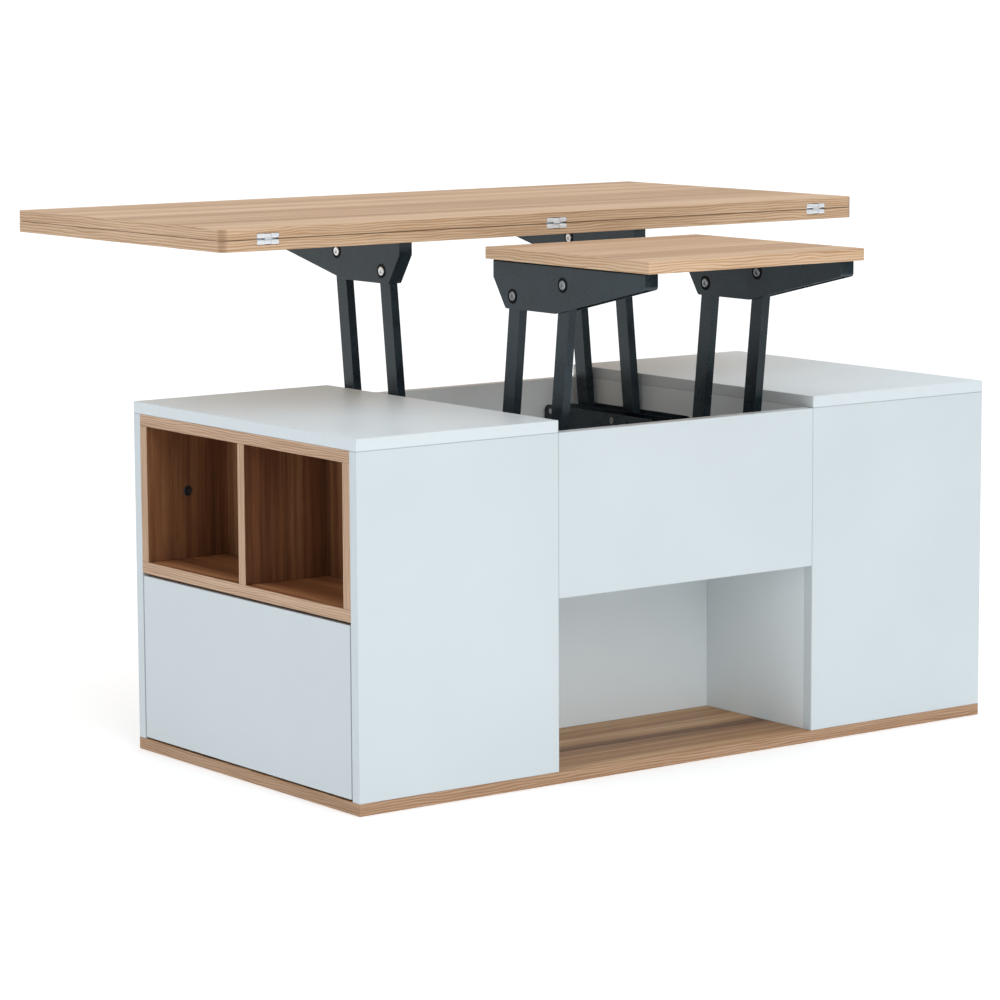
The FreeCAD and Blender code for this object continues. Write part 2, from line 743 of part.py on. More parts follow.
def small_top():
    body = keep(new_body("small_top_board"))
    half = "small_length / 2"
    top = f"{SMALL_UNDERSIDE} + small_board"
    block(body, (f"-{half}", half), ("small_back - small_depth", "small_back"), (SMALL_UNDERSIDE, top))
    deep_end = "(small_pivot_y - arm_reach + deep_pivot)"
    screw_holes(body, "small_lane", deep_end, SMALL_UNDERSIDE, -1)
    for name, side in SIDES.items():
        bracket(f"{name}_small_bracket", "small_lane", side, deep_end, SMALL_UNDERSIDE, -1)
    bracket_screws("small_bracket_screws", "small_lane", deep_end, SMALL_UNDERSIDE, -1)
    upper_pins("small_pivot_pins", "small_lane", small_pivots(), -1)


def arms():
    """Eight arms; the upper pivots of the front arms are the open ones of the loops."""
    linkages = (("large", large_pivots(), 1), ("small", small_pivots(), -1))
    for kind, pivots, lean_side in linkages:
        for (end, gap), pivot in zip((("rear", "running_gap"), ("front", "open_gap")), pivots):
            for name, side in SIDES.items():
                label = f"{name}_{kind}_{end}_arm"
                arm(label, f"{kind}_lane", side, pivot, lean_side, gap)


def check():
    """Stop unless every object of the document is sound."""
    for obj in doc.Objects:
        if "Invalid" in obj.State or "Error" in obj.State:
            raise SystemExit(f"{obj.Name} failed: {obj.State}")
    for node in nodes:
        if node.Shape.isNull() or not node.Shape.isValid():
            raise SystemExit(f"{node.Label} has no valid shape")


def write():
    os.makedirs("parts", exist_ok=True)
    for node in nodes:
        node.Shape.exportStep(f"parts/{node.Label}.step")
    print(len(nodes), "nodes written")


fill_sheet()
carcass()
for cabinet, cabinet_side in SIDES.items():
    cubby(cabinet, cabinet_side)
    drawer(cabinet, cabinet_side)
    lift_base(cabinet, cabinet_side)
cubby_caps()
cabinet_rails()
base_pins()
lift_springs()
base_screws()
arms()
large_top()
small_top()
doc.recompute()
check()
write()
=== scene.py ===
import json
import math

import bmesh
import bpy
from mathutils import Matrix, Vector


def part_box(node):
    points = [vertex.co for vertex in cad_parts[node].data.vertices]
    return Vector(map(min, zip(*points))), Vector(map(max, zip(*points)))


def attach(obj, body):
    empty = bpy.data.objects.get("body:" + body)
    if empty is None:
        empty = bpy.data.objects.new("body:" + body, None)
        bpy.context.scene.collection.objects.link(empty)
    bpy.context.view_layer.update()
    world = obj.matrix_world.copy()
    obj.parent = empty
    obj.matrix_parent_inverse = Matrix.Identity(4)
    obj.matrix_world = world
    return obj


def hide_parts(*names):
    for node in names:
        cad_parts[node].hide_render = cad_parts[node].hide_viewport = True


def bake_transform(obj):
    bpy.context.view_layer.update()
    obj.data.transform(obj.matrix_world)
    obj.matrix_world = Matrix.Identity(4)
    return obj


# Lift top coffee table, in metres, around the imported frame.

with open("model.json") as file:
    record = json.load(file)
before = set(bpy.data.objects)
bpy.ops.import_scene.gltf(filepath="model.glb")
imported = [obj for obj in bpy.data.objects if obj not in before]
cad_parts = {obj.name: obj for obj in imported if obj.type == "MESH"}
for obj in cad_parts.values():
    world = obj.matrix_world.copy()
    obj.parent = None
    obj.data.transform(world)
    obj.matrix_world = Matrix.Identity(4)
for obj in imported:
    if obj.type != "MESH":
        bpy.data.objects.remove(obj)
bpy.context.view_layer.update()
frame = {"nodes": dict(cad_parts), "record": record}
nodes = frame["nodes"]
SLOTS = {part["node"]: part["material_slot"] for part in frame["record"]["subparts"]}
MM = 0.001
LEFT, RIGHT = -1, 1
DOWN, UP = -1, 1
X, Y, Z = 0, 1, 2


# Shader tools

class Shade:
    """A material whose nodes are added one call at a time; the texture space is the row frame."""

    def __init__(self, name):
        self.material = bpy.data.materials.new(name)
        self.material.use_nodes = True
        self.tree = self.material.node_tree
        self.shader = self.tree.nodes["Principled BSDF"]
        space = self.add("ShaderNodeTexCoord").outputs
        self.place = space["Object"]
        self.facing = space["Normal"]

    def add(self, kind, inputs=(), **settings):
        node = self.tree.nodes.new(kind)
        for key, value in settings.items():
            setattr(node, key, value)
        for key, value in dict(inputs).items():
            self.feed(node.inputs[key], value)
        return node

    def feed(self, socket, value):
        if isinstance(value, bpy.types.NodeSocket):
            self.tree.links.new(value, socket)
        else:
            socket.default_value = value

    def set(self, **values):
        for key, value in values.items():
            self.feed(self.shader.inputs[key.replace("_", " ")], value)

    def specular(self, level):
        self.shader.inputs["Specular IOR Level"].default_value = level

    def math(self, operation, a, b=0.0):
        return self.add("ShaderNodeMath", {0: a, 1: b}, operation=operation).outputs[0]

    def plus(self, a, b):
        return self.math("ADD", a, b)

    def minus(self, a, b):
        return self.math("SUBTRACT", a, b)

    def times(self, a, b):
        return self.math("MULTIPLY", a, b)

    def size(self, value):
        """A value without its sign."""
        return self.math("ABSOLUTE", value)

    def vector(self, operation, a, b):
        return self.add("ShaderNodeVectorMath", {0: a, 1: b}, operation=operation).outputs

    def scaled(self, scale, place=None, location=(0, 0, 0)):
        node = self.add("ShaderNodeMapping", {"Vector": place or self.place})
        node.inputs["Scale"].default_value = scale
        node.inputs["Location"].default_value = location
        return node.outputs[0]

    def noise(self, place, scale=1.0, detail=2.0, roughness=0.5, output="Fac"):
        inputs = {"Vector": place, "Scale": scale, "Detail": detail, "Roughness": roughness}
        return self.add("ShaderNodeTexNoise", inputs).outputs[output]

    def range(self, value, low, high, out_low=0.0, out_high=1.0):
        inputs = {0: value, 1: low, 2: high, 3: out_low, 4: out_high}
        return self.add("ShaderNodeMapRange", inputs, clamp=True).outputs[0]

    def ramp(self, value, stops):
        node = self.add("ShaderNodeValToRGB", {0: value})
        elements = node.color_ramp.elements
        while len(elements) < len(stops):
            elements.new(0.5)
        for element, (position, colour) in zip(elements, stops):
            element.position = position
            element.color = (*colour, 1)
        return node.outputs[0]

    def mix(self, factor, a, b, blend="MIX"):
        node = self.add("ShaderNodeMix", data_type="RGBA", blend_type=blend)
        self.feed(node.inputs[0], factor)
        for socket, value in ((node.inputs[6], a), (node.inputs[7], b)):
            self.feed(socket, value if isinstance(value, bpy.types.NodeSocket) else (*value, 1))
        return node.outputs[2]

    def bump(self, height, strength, distance):
        inputs = {"Height": height, "Strength": strength, "Distance": distance}
        return self.add("ShaderNodeBump", inputs).outputs[0]

    def axes(self):
        return self.add("ShaderNodeSeparateXYZ", {0: self.place}).outputs

    def normals(self):
        return self.add("ShaderNodeSeparateXYZ", {0: self.facing}).outputs

    def worn_edges(self, radius):
        """1 on outer edges and 0 on flat faces."""
        rounded = self.add("ShaderNodeBevel", {"Radius": radius}, samples=4).outputs[0]
        true = self.add("ShaderNodeNewGeometry").outputs["Normal"]
        return self.range(self.vector("DOT_PRODUCT", rounded, true)["Value"], 0.99, 0.85)

    def line(self, away, half, blur, depth=1.0):
        """A dark line: depth up to half of its width from its middle, 0 beyond the blur."""
        return self.range(away, half, half + blur, depth, 0.0)


def tinted(colour, factor):
    return tuple(c * factor for c in colour)


# Wood print: tones run from the darkest line to the palest band, and the fifth is a warm stain

OAK = [(0.370, 0.190, 0.085), (0.530, 0.320, 0.165), (0.650, 0.425, 0.245), (0.750, 0.530, 0.335),
       (0.620, 0.360, 0.175)]
OAK_SMALL = [(0.310, 0.155, 0.068), (0.490, 0.288, 0.146), (0.625, 0.400, 0.228),
             (0.740, 0.520, 0.325), (0.590, 0.335, 0.160)]
# The base's oak print is painted darker, as shade in the niche, and given more contrast and warmth.
OAK_BASE_SHADED = [(0.120, 0.050, 0.020), (0.320, 0.165, 0.076), (0.450, 0.255, 0.125),
            (0.640, 0.430, 0.250), (0.420, 0.195, 0.070)]
OAK_EDGE = [(0.440, 0.268, 0.148), (0.570, 0.375, 0.228), (0.680, 0.480, 0.315)]
# Painted shade for the rounded corners of the leaves' edge band.
CORNER_SHADE = (0.200, 0.105, 0.050)
WALNUT = [(0.085, 0.032, 0.014), (0.165, 0.066, 0.027), (0.245, 0.108, 0.045),
          (0.360, 0.190, 0.088), (0.190, 0.060, 0.024)]
# Painted light: the cubby floors are the walnut print painted 1.7 times lighter, for the light that
# falls on them.
WALNUT_FLOOR_LIT = [tinted(tone, 1.7) for tone in WALNUT]

TOP_BAND = (0.96, 0.96, 0.96)
BASE_BAND = (0.70, 0.655, 0.65)
CUBBY_BAND = (0.85, 0.83, 0.87)
GRAIN_WANDER = 6 * MM
RIPPLE_PITCH = 3.3 * MM
RIPPLE_DRIFT = 3.5
BAND_DEPTH = 0.4 * MM
SEAM = (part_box("lower_leaf")[1].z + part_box("upper_leaf")[0].z) / 2


def along(axis, across, length):
    """Texture scale that stretches a pattern along one axis: sizes in metres."""
    scale = [1 / across] * 3
    scale[axis] = 1 / length
    return tuple(scale)


def seeded(seed):
    """Where in the noise a board's pattern is taken from."""
    return (seed, seed * 1.7, seed * 0.6)


def wander(s, axis, start):
    """The texture space pushed sideways a little, so that no line of the grain is quite straight."""
    wobble = s.noise(s.scaled(along(axis, 0.05, 0.11), location=start), output="Color")
    centred = s.vector("SUBTRACT", wobble, (0.5, 0.5, 0.5))[0]
    shift = s.add("ShaderNodeVectorMath", {0: centred, "Scale": GRAIN_WANDER}, operation="SCALE")
    return s.vector("ADD", s.place, shift.outputs[0])[0]


def board_print(s, axis, start, tones):
    """Straight grain along one axis: broad bands, streaks, fine lines and pores."""
    place = wander(s, axis, start)
    bands = s.noise(s.scaled(along(axis, 0.045, 2.2), place, start), detail=1.5)
    streaks = s.noise(s.scaled(along(axis, 0.009, 0.5), place, start), detail=3.0, roughness=0.6)
    lines = s.noise(s.scaled(along(axis, 0.0022, 0.10), place, start), detail=3.0, roughness=0.65)
    pores = s.noise(s.scaled(along(axis, 0.0007, 0.014), place, start), detail=1.0)
    tone = s.plus(s.times(bands, 0.42), s.times(streaks, 0.38))
    tone = s.plus(tone, s.times(lines, 0.20))
    colour = s.ramp(tone, list(zip((0.37, 0.47, 0.545, 0.64), tones)))
    stain = s.noise(s.scaled(along(axis, 0.03, 0.35), place, (start[0] + 4, 0, 2)))
    colour = s.mix(s.range(stain, 0.4, 0.7, 0.0, 0.22), colour, tones[4])
    pore = s.range(pores, 0.66, 0.74)
    return s.mix(s.times(pore, 0.35), colour, tones[0]), lines, pore


def edge_print(s, upright, start, tint):
    """The band glued round a board's edge: close wavy lines that follow it round the corners."""
    x, y, z = s.axes()
    run = s.minus(x, y)
    if upright:
        run, z = z, run
    here = s.add("ShaderNodeCombineXYZ", {0: run, 1: z, 2: start[0]}).outputs[0]
    drift = s.noise(s.scaled((1 / 0.10, 1 / 0.02, 1), here))
    turns = s.plus(s.math("DIVIDE", z, RIPPLE_PITCH), s.times(drift, RIPPLE_DRIFT))
    ripple = s.range(s.math("SINE", s.times(turns, 2 * math.pi)), -1, 1)
    fine = s.noise(s.scaled((1 / 0.09, 1 / 0.0013, 1), here, start), detail=3.0, roughness=0.6)
    broad = s.noise(s.scaled((1 / 0.30, 1 / 0.010, 1), here, start), detail=1.0)
    tone = s.plus(s.times(ripple, 0.22), s.times(fine, 0.50))
    tone = s.plus(tone, s.times(broad, 0.28))
    tones = [tuple(c * k for c, k in zip(edge, tint)) for edge in OAK_EDGE]
    return s.ramp(tone, list(zip((0.38, 0.50, 0.62), tones)))


def finish_wood(s, colour, lines, pore, gloss):
    """Satin print whose lines stand out a little and whose pores are pressed in."""
    relief = s.minus(s.times(lines, 0.5), pore)
    s.set(Base_Color=colour, Roughness=s.range(lines, 0.3, 0.7, 0.40, 0.52),
          Normal=s.bump(relief, 0.12, 0.2 * MM))
    s.specular(gloss)
    return s.material


def oak(name, seed, tones=OAK, seam=None, tint=TOP_BAND, gloss=0.4):
    """Light oak print on a board that lies flat, banded round its edge. A seam is the height of a
    dark joint in the edge; boards that have one also have painted shade on their rounded corners."""
    s = Shade(name)
    start = seeded(seed)
    colour, lines, pore = board_print(s, X, start, tones)
    facing = s.normals()
    slope = s.size(facing[Z])
    band = edge_print(s, False, start, tint)
    if seam:
        # Painted shade: rounded corners, where the normal leans between x and y, are darkened towards
        # CORNER_SHADE.
        corner = s.size(s.times(facing[X], facing[Y]))
        band = s.mix(s.range(corner, 0.05, 0.45, 0.0, 0.5), band, CORNER_SHADE)
    colour = s.mix(s.range(slope, 0.55, 0.45), colour, band)
    if seam:
        away = s.size(s.minus(s.axes()[Z], seam))
        dark = s.times(s.line(away, 0.3 * MM, 0.6 * MM), s.range(slope, 0.9, 0.8))
        dark = s.times(dark, s.range(s.size(facing[X]), 0.3, 0.9, 0.85, 0.30))
        colour = s.mix(dark, colour, tinted(tones[0], 0.16))
    return finish_wood(s, colour, lines, pore, gloss)


def walnut(name, axis, seed, tones=WALNUT):
    """Dark walnut print inside the cubbies; the edges at the table's ends have the oak band."""
    s = Shade(name)
    start = seeded(seed)
    colour, lines, pore = board_print(s, axis, start, tones)
    x = s.axes()[X]
    low, high = (corner.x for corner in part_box("base_board"))
    right = s.range(x, high - 1.5 * BAND_DEPTH, high - 0.5 * BAND_DEPTH)
    left = s.range(x, low + 0.5 * BAND_DEPTH, low + 1.5 * BAND_DEPTH, 1.0, 0.0)
    band = edge_print(s, axis == Z, start, CUBBY_BAND)
    colour = s.mix(s.math("MAXIMUM", right, left), colour, band)
    return finish_wood(s, colour, lines, pore, 0.4)


# White board: joints are the planes where boards meet, drawn as thin dark lines

BODY_JOINTS = [
    (Z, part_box("left_top_panel")[0].z),
    (X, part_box("centre_front_panel")[0].x),
    (X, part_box("centre_front_panel")[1].x),
]
FLOOR_JOINT = [(Z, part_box("base_board")[1].z)]
BACK_JOINTS = FLOOR_JOINT + [
    (X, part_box("left_inner_wall")[1].x),
    (X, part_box("right_inner_wall")[0].x),
]


def melamine(name, colour, seed=0.0, joints=(), edge=None):
    """An even sheet with a fine pearl texture and barely visible mottling. A joint shows only on
    faces that cross its plane; edge, if given, is the colour of a flat board's upright faces, so that
    its upward faces stand out lighter as painted light."""
    s = Shade(name)
    here = s.scaled((1, 1, 1), location=(seed, seed, 0))
    cloud = s.noise(here, scale=5.0, detail=3.0)
    speck = s.noise(here, scale=900.0, roughness=0.7)
    mottled = s.mix(s.range(cloud, 0.35, 0.65), tinted(colour, 0.965), colour)
    grain = s.mix(s.range(speck, 0.35, 0.7), tinted(colour, 0.97), (1, 1, 1))
    shade = s.mix(0.12, mottled, grain, "MULTIPLY")
    facing = s.normals()
    # Painted light: upward faces keep the lighter colour, upright faces take the darker edge colour.
    if edge:
        shade = s.mix(s.range(s.size(facing[Z]), 0.55, 0.45), shade, edge)
    for axis, place in joints:
        away = s.size(s.minus(s.axes()[axis], place))
        crossing = s.range(s.size(facing[axis]), 0.5, 0.8, 1.0, 0.0)
        dark = s.times(s.line(away, 0.3 * MM, 0.5 * MM, 0.6), crossing)
        shade = s.mix(dark, shade, tinted(colour, 0.3))
    shade = s.mix(s.times(s.worn_edges(0.8 * MM), 0.35), shade, tinted(colour, 0.80))
    pearl = s.noise(here, scale=1500.0)
    s.set(Base_Color=shade, Roughness=s.range(cloud, 0.3, 0.7, 0.34, 0.44),
          Normal=s.bump(pearl, 0.06, 0.1 * MM))
    s.specular(0.35)
    return s.material


# Steel, plated metal and plastic

COAT_DARK = (0.004, 0.008, 0.012)
COAT_PALE = (0.016, 0.027, 0.035)
COAT_DUST = (0.07, 0.08, 0.085)
COAT_SHADED = (0.001, 0.001, 0.0015)
COAT_WORN = (0.16, 0.17, 0.175)
COAT_GLINT = (0.80, 0.94, 1.0, 1)


def powder_coat(name):
    """Satin black coat with orange peel, dust in patches and edges rubbed to a lighter grey. Faces
    that look up, under the tops, are painted blacker as painted shade, and made duller."""
    s = Shade(name)
    peel = s.noise(s.place, scale=1100.0)
    cloud = s.noise(s.place, scale=22.0, detail=4.0, roughness=0.6)
    speck = s.noise(s.place, scale=420.0, detail=3.0, roughness=0.7)
    # Painted shade: faces that look up are darkened towards COAT_SHADED.
    upward = s.range(s.normals()[Z], 0.15, 0.5)
    colour = s.ramp(cloud, [(0.35, COAT_DARK), (0.65, COAT_PALE)])
    colour = s.mix(s.range(speck, 0.66, 0.80, 0, 0.2), colour, COAT_DUST)
    colour = s.mix(s.times(upward, 0.9), colour, COAT_SHADED)
    worn = s.times(s.worn_edges(0.9 * MM), s.range(speck, 0.35, 0.65))
    worn = s.times(worn, s.minus(1.0, upward))
    colour = s.mix(s.times(worn, 0.45), colour, COAT_WORN)
    rough = s.plus(s.range(cloud, 0.3, 0.7, 0.22, 0.36), s.times(upward, 0.4))
    s.set(Base_Color=colour, Roughness=rough, Normal=s.bump(peel, 0.03, 0.2 * MM))
    s.specular(0.42)
    s.shader.inputs["Specular Tint"].default_value = COAT_GLINT
    return s.material


def metal(name, pale, dark, roughness, scale=(260, 260, 260), blotch=60.0, mark=0.10, bare=1.0):
    """Bare or plated metal with fine marks and soft blotches."""
    s = Shade(name)
    marks = s.noise(s.scaled(scale), detail=4.0, roughness=0.7)
    patches = s.noise(s.place, scale=blotch, detail=3.0)
    colour = s.mix(s.range(patches, 0.3, 0.7), pale, dark)
    colour = s.mix(s.range(marks, 0.45, 0.75, 0, 0.4), colour, dark)
    rough = s.plus(s.range(patches, 0.3, 0.7, roughness, roughness + 0.12),
                   s.range(marks, 0.4, 0.7, 0, 0.08))
    s.set(Base_Color=colour, Roughness=rough, Normal=s.bump(marks, mark, 0.1 * MM))
    s.shader.inputs["Metallic"].default_value = bare
    return s.material


def plastic(name, colour, pale, shine=0.5):
    """Moulded black plastic with a fine spark texture."""
    s = Shade(name)
    spark = s.noise(s.place, scale=2600.0)
    cloud = s.noise(s.place, scale=180.0, detail=3.0)
    s.set(Base_Color=s.mix(s.range(cloud, 0.35, 0.7), colour, pale),
          Roughness=s.range(cloud, 0.3, 0.7, 0.38, 0.55), Normal=s.bump(spark, 0.2, 0.1 * MM))
    s.specular(shine)
    return s.material


# Materials, and which node wears which

MATERIALS = {
    # Painted light: the five white melamines are one board. white_top is painted lighter on its
    # upward faces, and white_inside, white_back and white_rear are painted lighter still, to make up
    # for the shade in the niche, drawers and compartment.
    "white": melamine("white_melamine", (0.625, 0.690, 0.722), joints=BODY_JOINTS),
    "white_top": melamine("white_melamine_top_painted_lighter", (0.745, 0.820, 0.855), 1.0, BODY_JOINTS,
                          edge=(0.650, 0.715, 0.745)),
    "white_inside": melamine("white_melamine_inside_painted_lighter", (0.80, 0.87, 0.90), 2.0, FLOOR_JOINT),
    "white_back": melamine("white_melamine_niche_painted_lighter", (0.80, 0.87, 0.90), 4.0, BACK_JOINTS),
    "white_rear": melamine("white_melamine_rear_painted_lighter", (0.92, 0.98, 1.0), 3.0),
    "oak_top": oak("oak_print_top", 0.3, seam=SEAM),
    "oak_lower": oak("oak_print_lower_leaf", 2.1, seam=SEAM),
    "oak_small": oak("oak_print_small_top", 5.2, OAK_SMALL),
    "oak_base": oak("oak_print_base_shaded", 7.4, OAK_BASE_SHADED, tint=BASE_BAND, gloss=0.2),
    "walnut_upright": walnut("walnut_print_upright", Z, 1.1),
    "walnut_across": walnut("walnut_print_across", Y, 3.3),
    "walnut_floor": walnut("walnut_print_floor_lit", Y, 4.6, WALNUT_FLOOR_LIT),
    "black_steel": powder_coat("black_powder_coat"),
    "rivet_steel": metal("bright_rivet", (0.86, 0.88, 0.89), (0.66, 0.69, 0.70), 0.28, bare=0.7),
    "hinge_zinc": metal("hinge_zinc", (0.93, 0.95, 0.97), (0.80, 0.83, 0.86), 0.26, bare=0.4),
    "rivet_dull": metal("dull_rivet", (0.36, 0.39, 0.41), (0.20, 0.22, 0.23), 0.32),
    "spring_steel": metal("oiled_spring", (0.42, 0.42, 0.43), (0.20, 0.19, 0.185), 0.30,
                          scale=(1500, 300, 300)),
    "zinc": metal("bright_zinc", (0.80, 0.82, 0.84), (0.66, 0.69, 0.72), 0.24,
                  scale=(60, 900, 900), blotch=25.0, mark=0.03),
    "black_plastic": plastic("black_plastic", (0.010, 0.011, 0.013), (0.022, 0.023, 0.026)),
    # Painted shade: near-black matt rings for the shadowed dimples round the rivet heads.
    "dimple_shade": plastic("matt_dimple_shade", (0.002, 0.0025, 0.003), (0.004, 0.005, 0.006), 0.08),
}
SLOT_MATERIALS = {"white_board": "white"}
NODE_MATERIALS = {
    "lower_leaf": "oak_lower",
    "upper_leaf": "oak_top",
    "small_top_board": "oak_small",
    "base_board": "oak_base",
    "niche_back": "white_back",
    "mechanism_shelf": "white_inside",
    "centre_rear_panel": "white_rear",
}
END_MATERIALS = {
    "cubby_divider": "walnut_upright",
    "cubby_back": "walnut_upright",
    "cubby_sides": "walnut_upright",
    "cubby_top": "walnut_across",
    "cubby_bottom": "walnut_floor",
    "drawer_walls": "white_inside",
    "drawer_bottom": "white_inside",
    "inner_wall": "white_inside",
    "top_panel": "white_top",
}
for end in ("left", "right"):
    for part, material in END_MATERIALS.items():
        NODE_MATERIALS[f"{end}_{part}"] = material


def paint(obj, name):
    obj.data.materials.clear()
    obj.data.materials.append(MATERIALS[name])


# CAD nodes keep their meshes: seams are welded, edges eased and normals weighted by modifiers.

EASING = {"white_board": 0.6 * MM, "wood": 0.6 * MM, "black_steel": 0.5 * MM, "zinc": 0.25 * MM}
WELD_DISTANCE = 0.01 * MM
FLAT_ANGLE = math.radians(1)
EASED_ANGLE = math.radians(40)


def ease(obj, width):
    weld = obj.modifiers.new("weld", "WELD")
    weld.merge_threshold = WELD_DISTANCE
    flat = obj.modifiers.new("flat", "DECIMATE")
    flat.decimate_type = "DISSOLVE"
    flat.angle_limit = FLAT_ANGLE
    bevel = obj.modifiers.new("ease", "BEVEL")
    bevel.width = width
    bevel.segments = 2
    bevel.limit_method = "ANGLE"
    bevel.angle_limit = EASED_ANGLE
    bevel.use_clamp_overlap = True
    bevel.miter_outer = "MITER_ARC"
    weighted = obj.modifiers.new("normals", "WEIGHTED_NORMAL")
    weighted.keep_sharp = False
    weighted.weight = 80


for name, obj in nodes.items():
    slot = SLOTS[name]
    paint(obj, NODE_MATERIALS.get(name, SLOT_MATERIALS.get(slot, slot)))
    if slot in EASING:
        ease(obj, EASING[slot])


# Tools for the detailed pieces

def islands(name):
    """The low and high corners of each separate solid of a node, in order along x, y and z."""
    mesh = nodes[name].data
    keys = [tuple(round(c, 5) for c in v.co) for v in mesh.vertices]
    parent = {key: key for key in keys}

    def root(key):
        while parent[key] != key:
            parent[key] = parent[parent[key]]
            key = parent[key]
        return key

    for polygon in mesh.polygons:
        first = root(keys[polygon.vertices[0]])
        for index in polygon.vertices[1:]:
            parent[root(keys[index])] = first
    groups = {}
    for key in parent:
        groups.setdefault(root(key), []).append(key)
    boxes = []
    for points in groups.values():
        boxes.append((Vector(map(min, zip(*points))), Vector(map(max, zip(*points)))))
    return sorted(boxes, key=lambda box: tuple(box[0]))


def turned(axis):
    """The rotation that lays Z along an axis."""
    return Vector((0, 0, 1)).rotation_difference(Vector(axis)).to_matrix()


def circle(radius, height, count):
    """Points of a circle round Z."""
    angles = [2 * math.pi * k / count for k in range(count)]
    return [Vector((radius * math.cos(a), radius * math.sin(a), height)) for a in angles]


def lathe(bm, profile, origin, axis, segments=48):
    """Turns a profile of (distance, radius) pairs round an axis; points on the axis are poles."""
    origin, turn = Vector(origin), turned(axis)
    rings = []
    for distance, radius in profile:
        if radius < 1e-9:
            points = [Vector((0, 0, distance))]
        else:
            points = circle(radius, distance, segments)
        rings.append([bm.verts.new(origin + turn @ point) for point in points])
    for low, high in zip(rings, rings[1:]):
        for k in range(segments):
            n = (k + 1) % segments
            corners = [low[k % len(low)], low[n % len(low)], high[n % len(high)], high[k % len(high)]]
            unique = list(dict.fromkeys(corners))
            if len(unique) > 2:
                bm.faces.new(unique)


def prism(bm, points, low, high, plane="xz"):
    """An outline pushed out from low to high along the axis that its plane leaves out."""
    order = {
        "xz": lambda u, v, w: (u, w, v),
        "yz": lambda u, v, w: (w, u, v),
        "xy": lambda u, v, w: (u, v, w),
    }[plane]
    rings = [[bm.verts.new(order(u, v, w)) for u, v in points] for w in (low, high)]
    bm.faces.new(rings[0])
    bm.faces.new(rings[1][::-1])
    count = len(points)
    for k in range(count):
        n = (k + 1) % count
        bm.faces.new((rings[0][k], rings[1][k], rings[1][n], rings[0][n]))


def mesh_object(name, bm):
    """The object that takes over a finished bmesh."""
    mesh = bpy.data.meshes.new(name)
    bm.to_mesh(mesh)
    bm.free()
    obj = bpy.data.objects.new(name, mesh)
    bpy.context.scene.collection.objects.link(obj)
    return obj


def finish_piece(name, bm, material, body, replaced, easing=None, angle=35):
    """A detailed piece in place of CAD nodes. Without a body, it is left unattached, and its caller
    bakes its transform.
    """
    bmesh.ops.recalc_face_normals(bm, faces=bm.faces)
    obj = mesh_object(name, bm)
    for polygon in obj.data.polygons:
        polygon.use_smooth = True
    obj.data.set_sharp_from_angle(angle=math.radians(angle))
    paint(obj, material)
    if easing:
        ease(obj, easing)
    if body:
        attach(obj, body)
    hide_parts(*replaced)
    return obj


def join(bm):
    bmesh.ops.remove_doubles(bm, verts=bm.verts, dist=0.001 * MM)


def in_mm(rows):
    return [tuple(value * MM for value in row) for row in rows]


# Rivets: a turned head with a hollow middle, on a near-black dished ring whose darkness is painted
# shade for the dimple round the head

HEAD_HEIGHT = 1.5 * MM
SHANK_RADIUS = 4.0 * MM
STUD_LENGTH = 6 * MM
INNER_LANE = 165 * MM
DIMPLE_SHADE_PROFILE = in_mm([
    (0, 4.3), (0, 9.1), (0.12, 9.4), (0.34, 9.4), (0.42, 9.15), (0.38, 8.8), (0.12, 7.4), (0.08, 6.0),
    (0.06, 4.3), (0, 4.3)])
HEAD_PROFILE = in_mm([
    (0.07, 4.0), (0.07, 5.8), (0.75, 5.85), (1.15, 5.6), (1.40, 5.1), (1.5, 4.5), (1.5, 3.8),
    (1.36, 3.1), (1.05, 2.4), (0.95, 1.9), (0.20, 1.7), (0.12, 0)])
STUD_PROFILE = in_mm([
    (0, 4.0), (0, 4.6), (0.5, 4.6), (0.9, 4.2), (1.05, 3.4), (0.8, 2.4), (0.7, 1.0), (0.7, 0)])
PLAIN_END = in_mm([(-0.2, 4.0), (0, 3.7), (0, 3.2), (-0.1, 2.8), (-0.1, 0)])


def rivets(name, node, body, metal_name, ends_of, head=HEAD_PROFILE, dimple_shades=True):
    """ends_of gives the ends of a pin, LEFT or RIGHT, that carry a head, or None to leave it out."""
    metal_bm, dimple_shade_bm = bmesh.new(), bmesh.new()
    for low, high in islands(node):
        ends = ends_of(low, high)
        if ends is None:
            continue
        y, z = (low.y + high.y) / 2, (low.z + high.z) / 2
        stations = []
        for end, tip in ((LEFT, low.x), (RIGHT, high.x)):
            headed = end in ends
            profile = head if headed else PLAIN_END
            face = tip - end * HEAD_HEIGHT if headed else tip
            lathe(metal_bm, profile, (face, y, z), (end, 0, 0))
            stations.append(face + end * profile[0][0])
            # Painted shade: a near-black dished ring round each head.
            if headed and dimple_shades:
                lathe(dimple_shade_bm, DIMPLE_SHADE_PROFILE, (face, y, z), (end, 0, 0))
        length = stations[1] - stations[0]
        shank = [(length * part, SHANK_RADIUS) for part in (0, 0.5, 1)]
        lathe(metal_bm, shank, (stations[0], y, z), (RIGHT, 0, 0))
    join(metal_bm)
    join(dimple_shade_bm)
    finish_piece(name, metal_bm, metal_name, body, (node,))
    if dimple_shades:
        finish_piece(f"{name}_washers", dimple_shade_bm, "dimple_shade", body, (node,))
    else:
        dimple_shade_bm.free()


def both_ends(low, high):
    return (LEFT, RIGHT)


def is_stud(low, high):
    return high.x - low.x < STUD_LENGTH


def base_ends(low, high):
    """Pins through the inner lane have two heads; the others have one, towards the middle."""
    if is_stud(low, high):
        return None
    middle = (low.x + high.x) / 2
    if abs(middle) < INNER_LANE:
        return (LEFT, RIGHT)
    return (LEFT,) if middle > 0 else (RIGHT,)


def stud_ends(low, high):
    if not is_stud(low, high):
        return None
    return (LEFT,) if low.x > 0 else (RIGHT,)


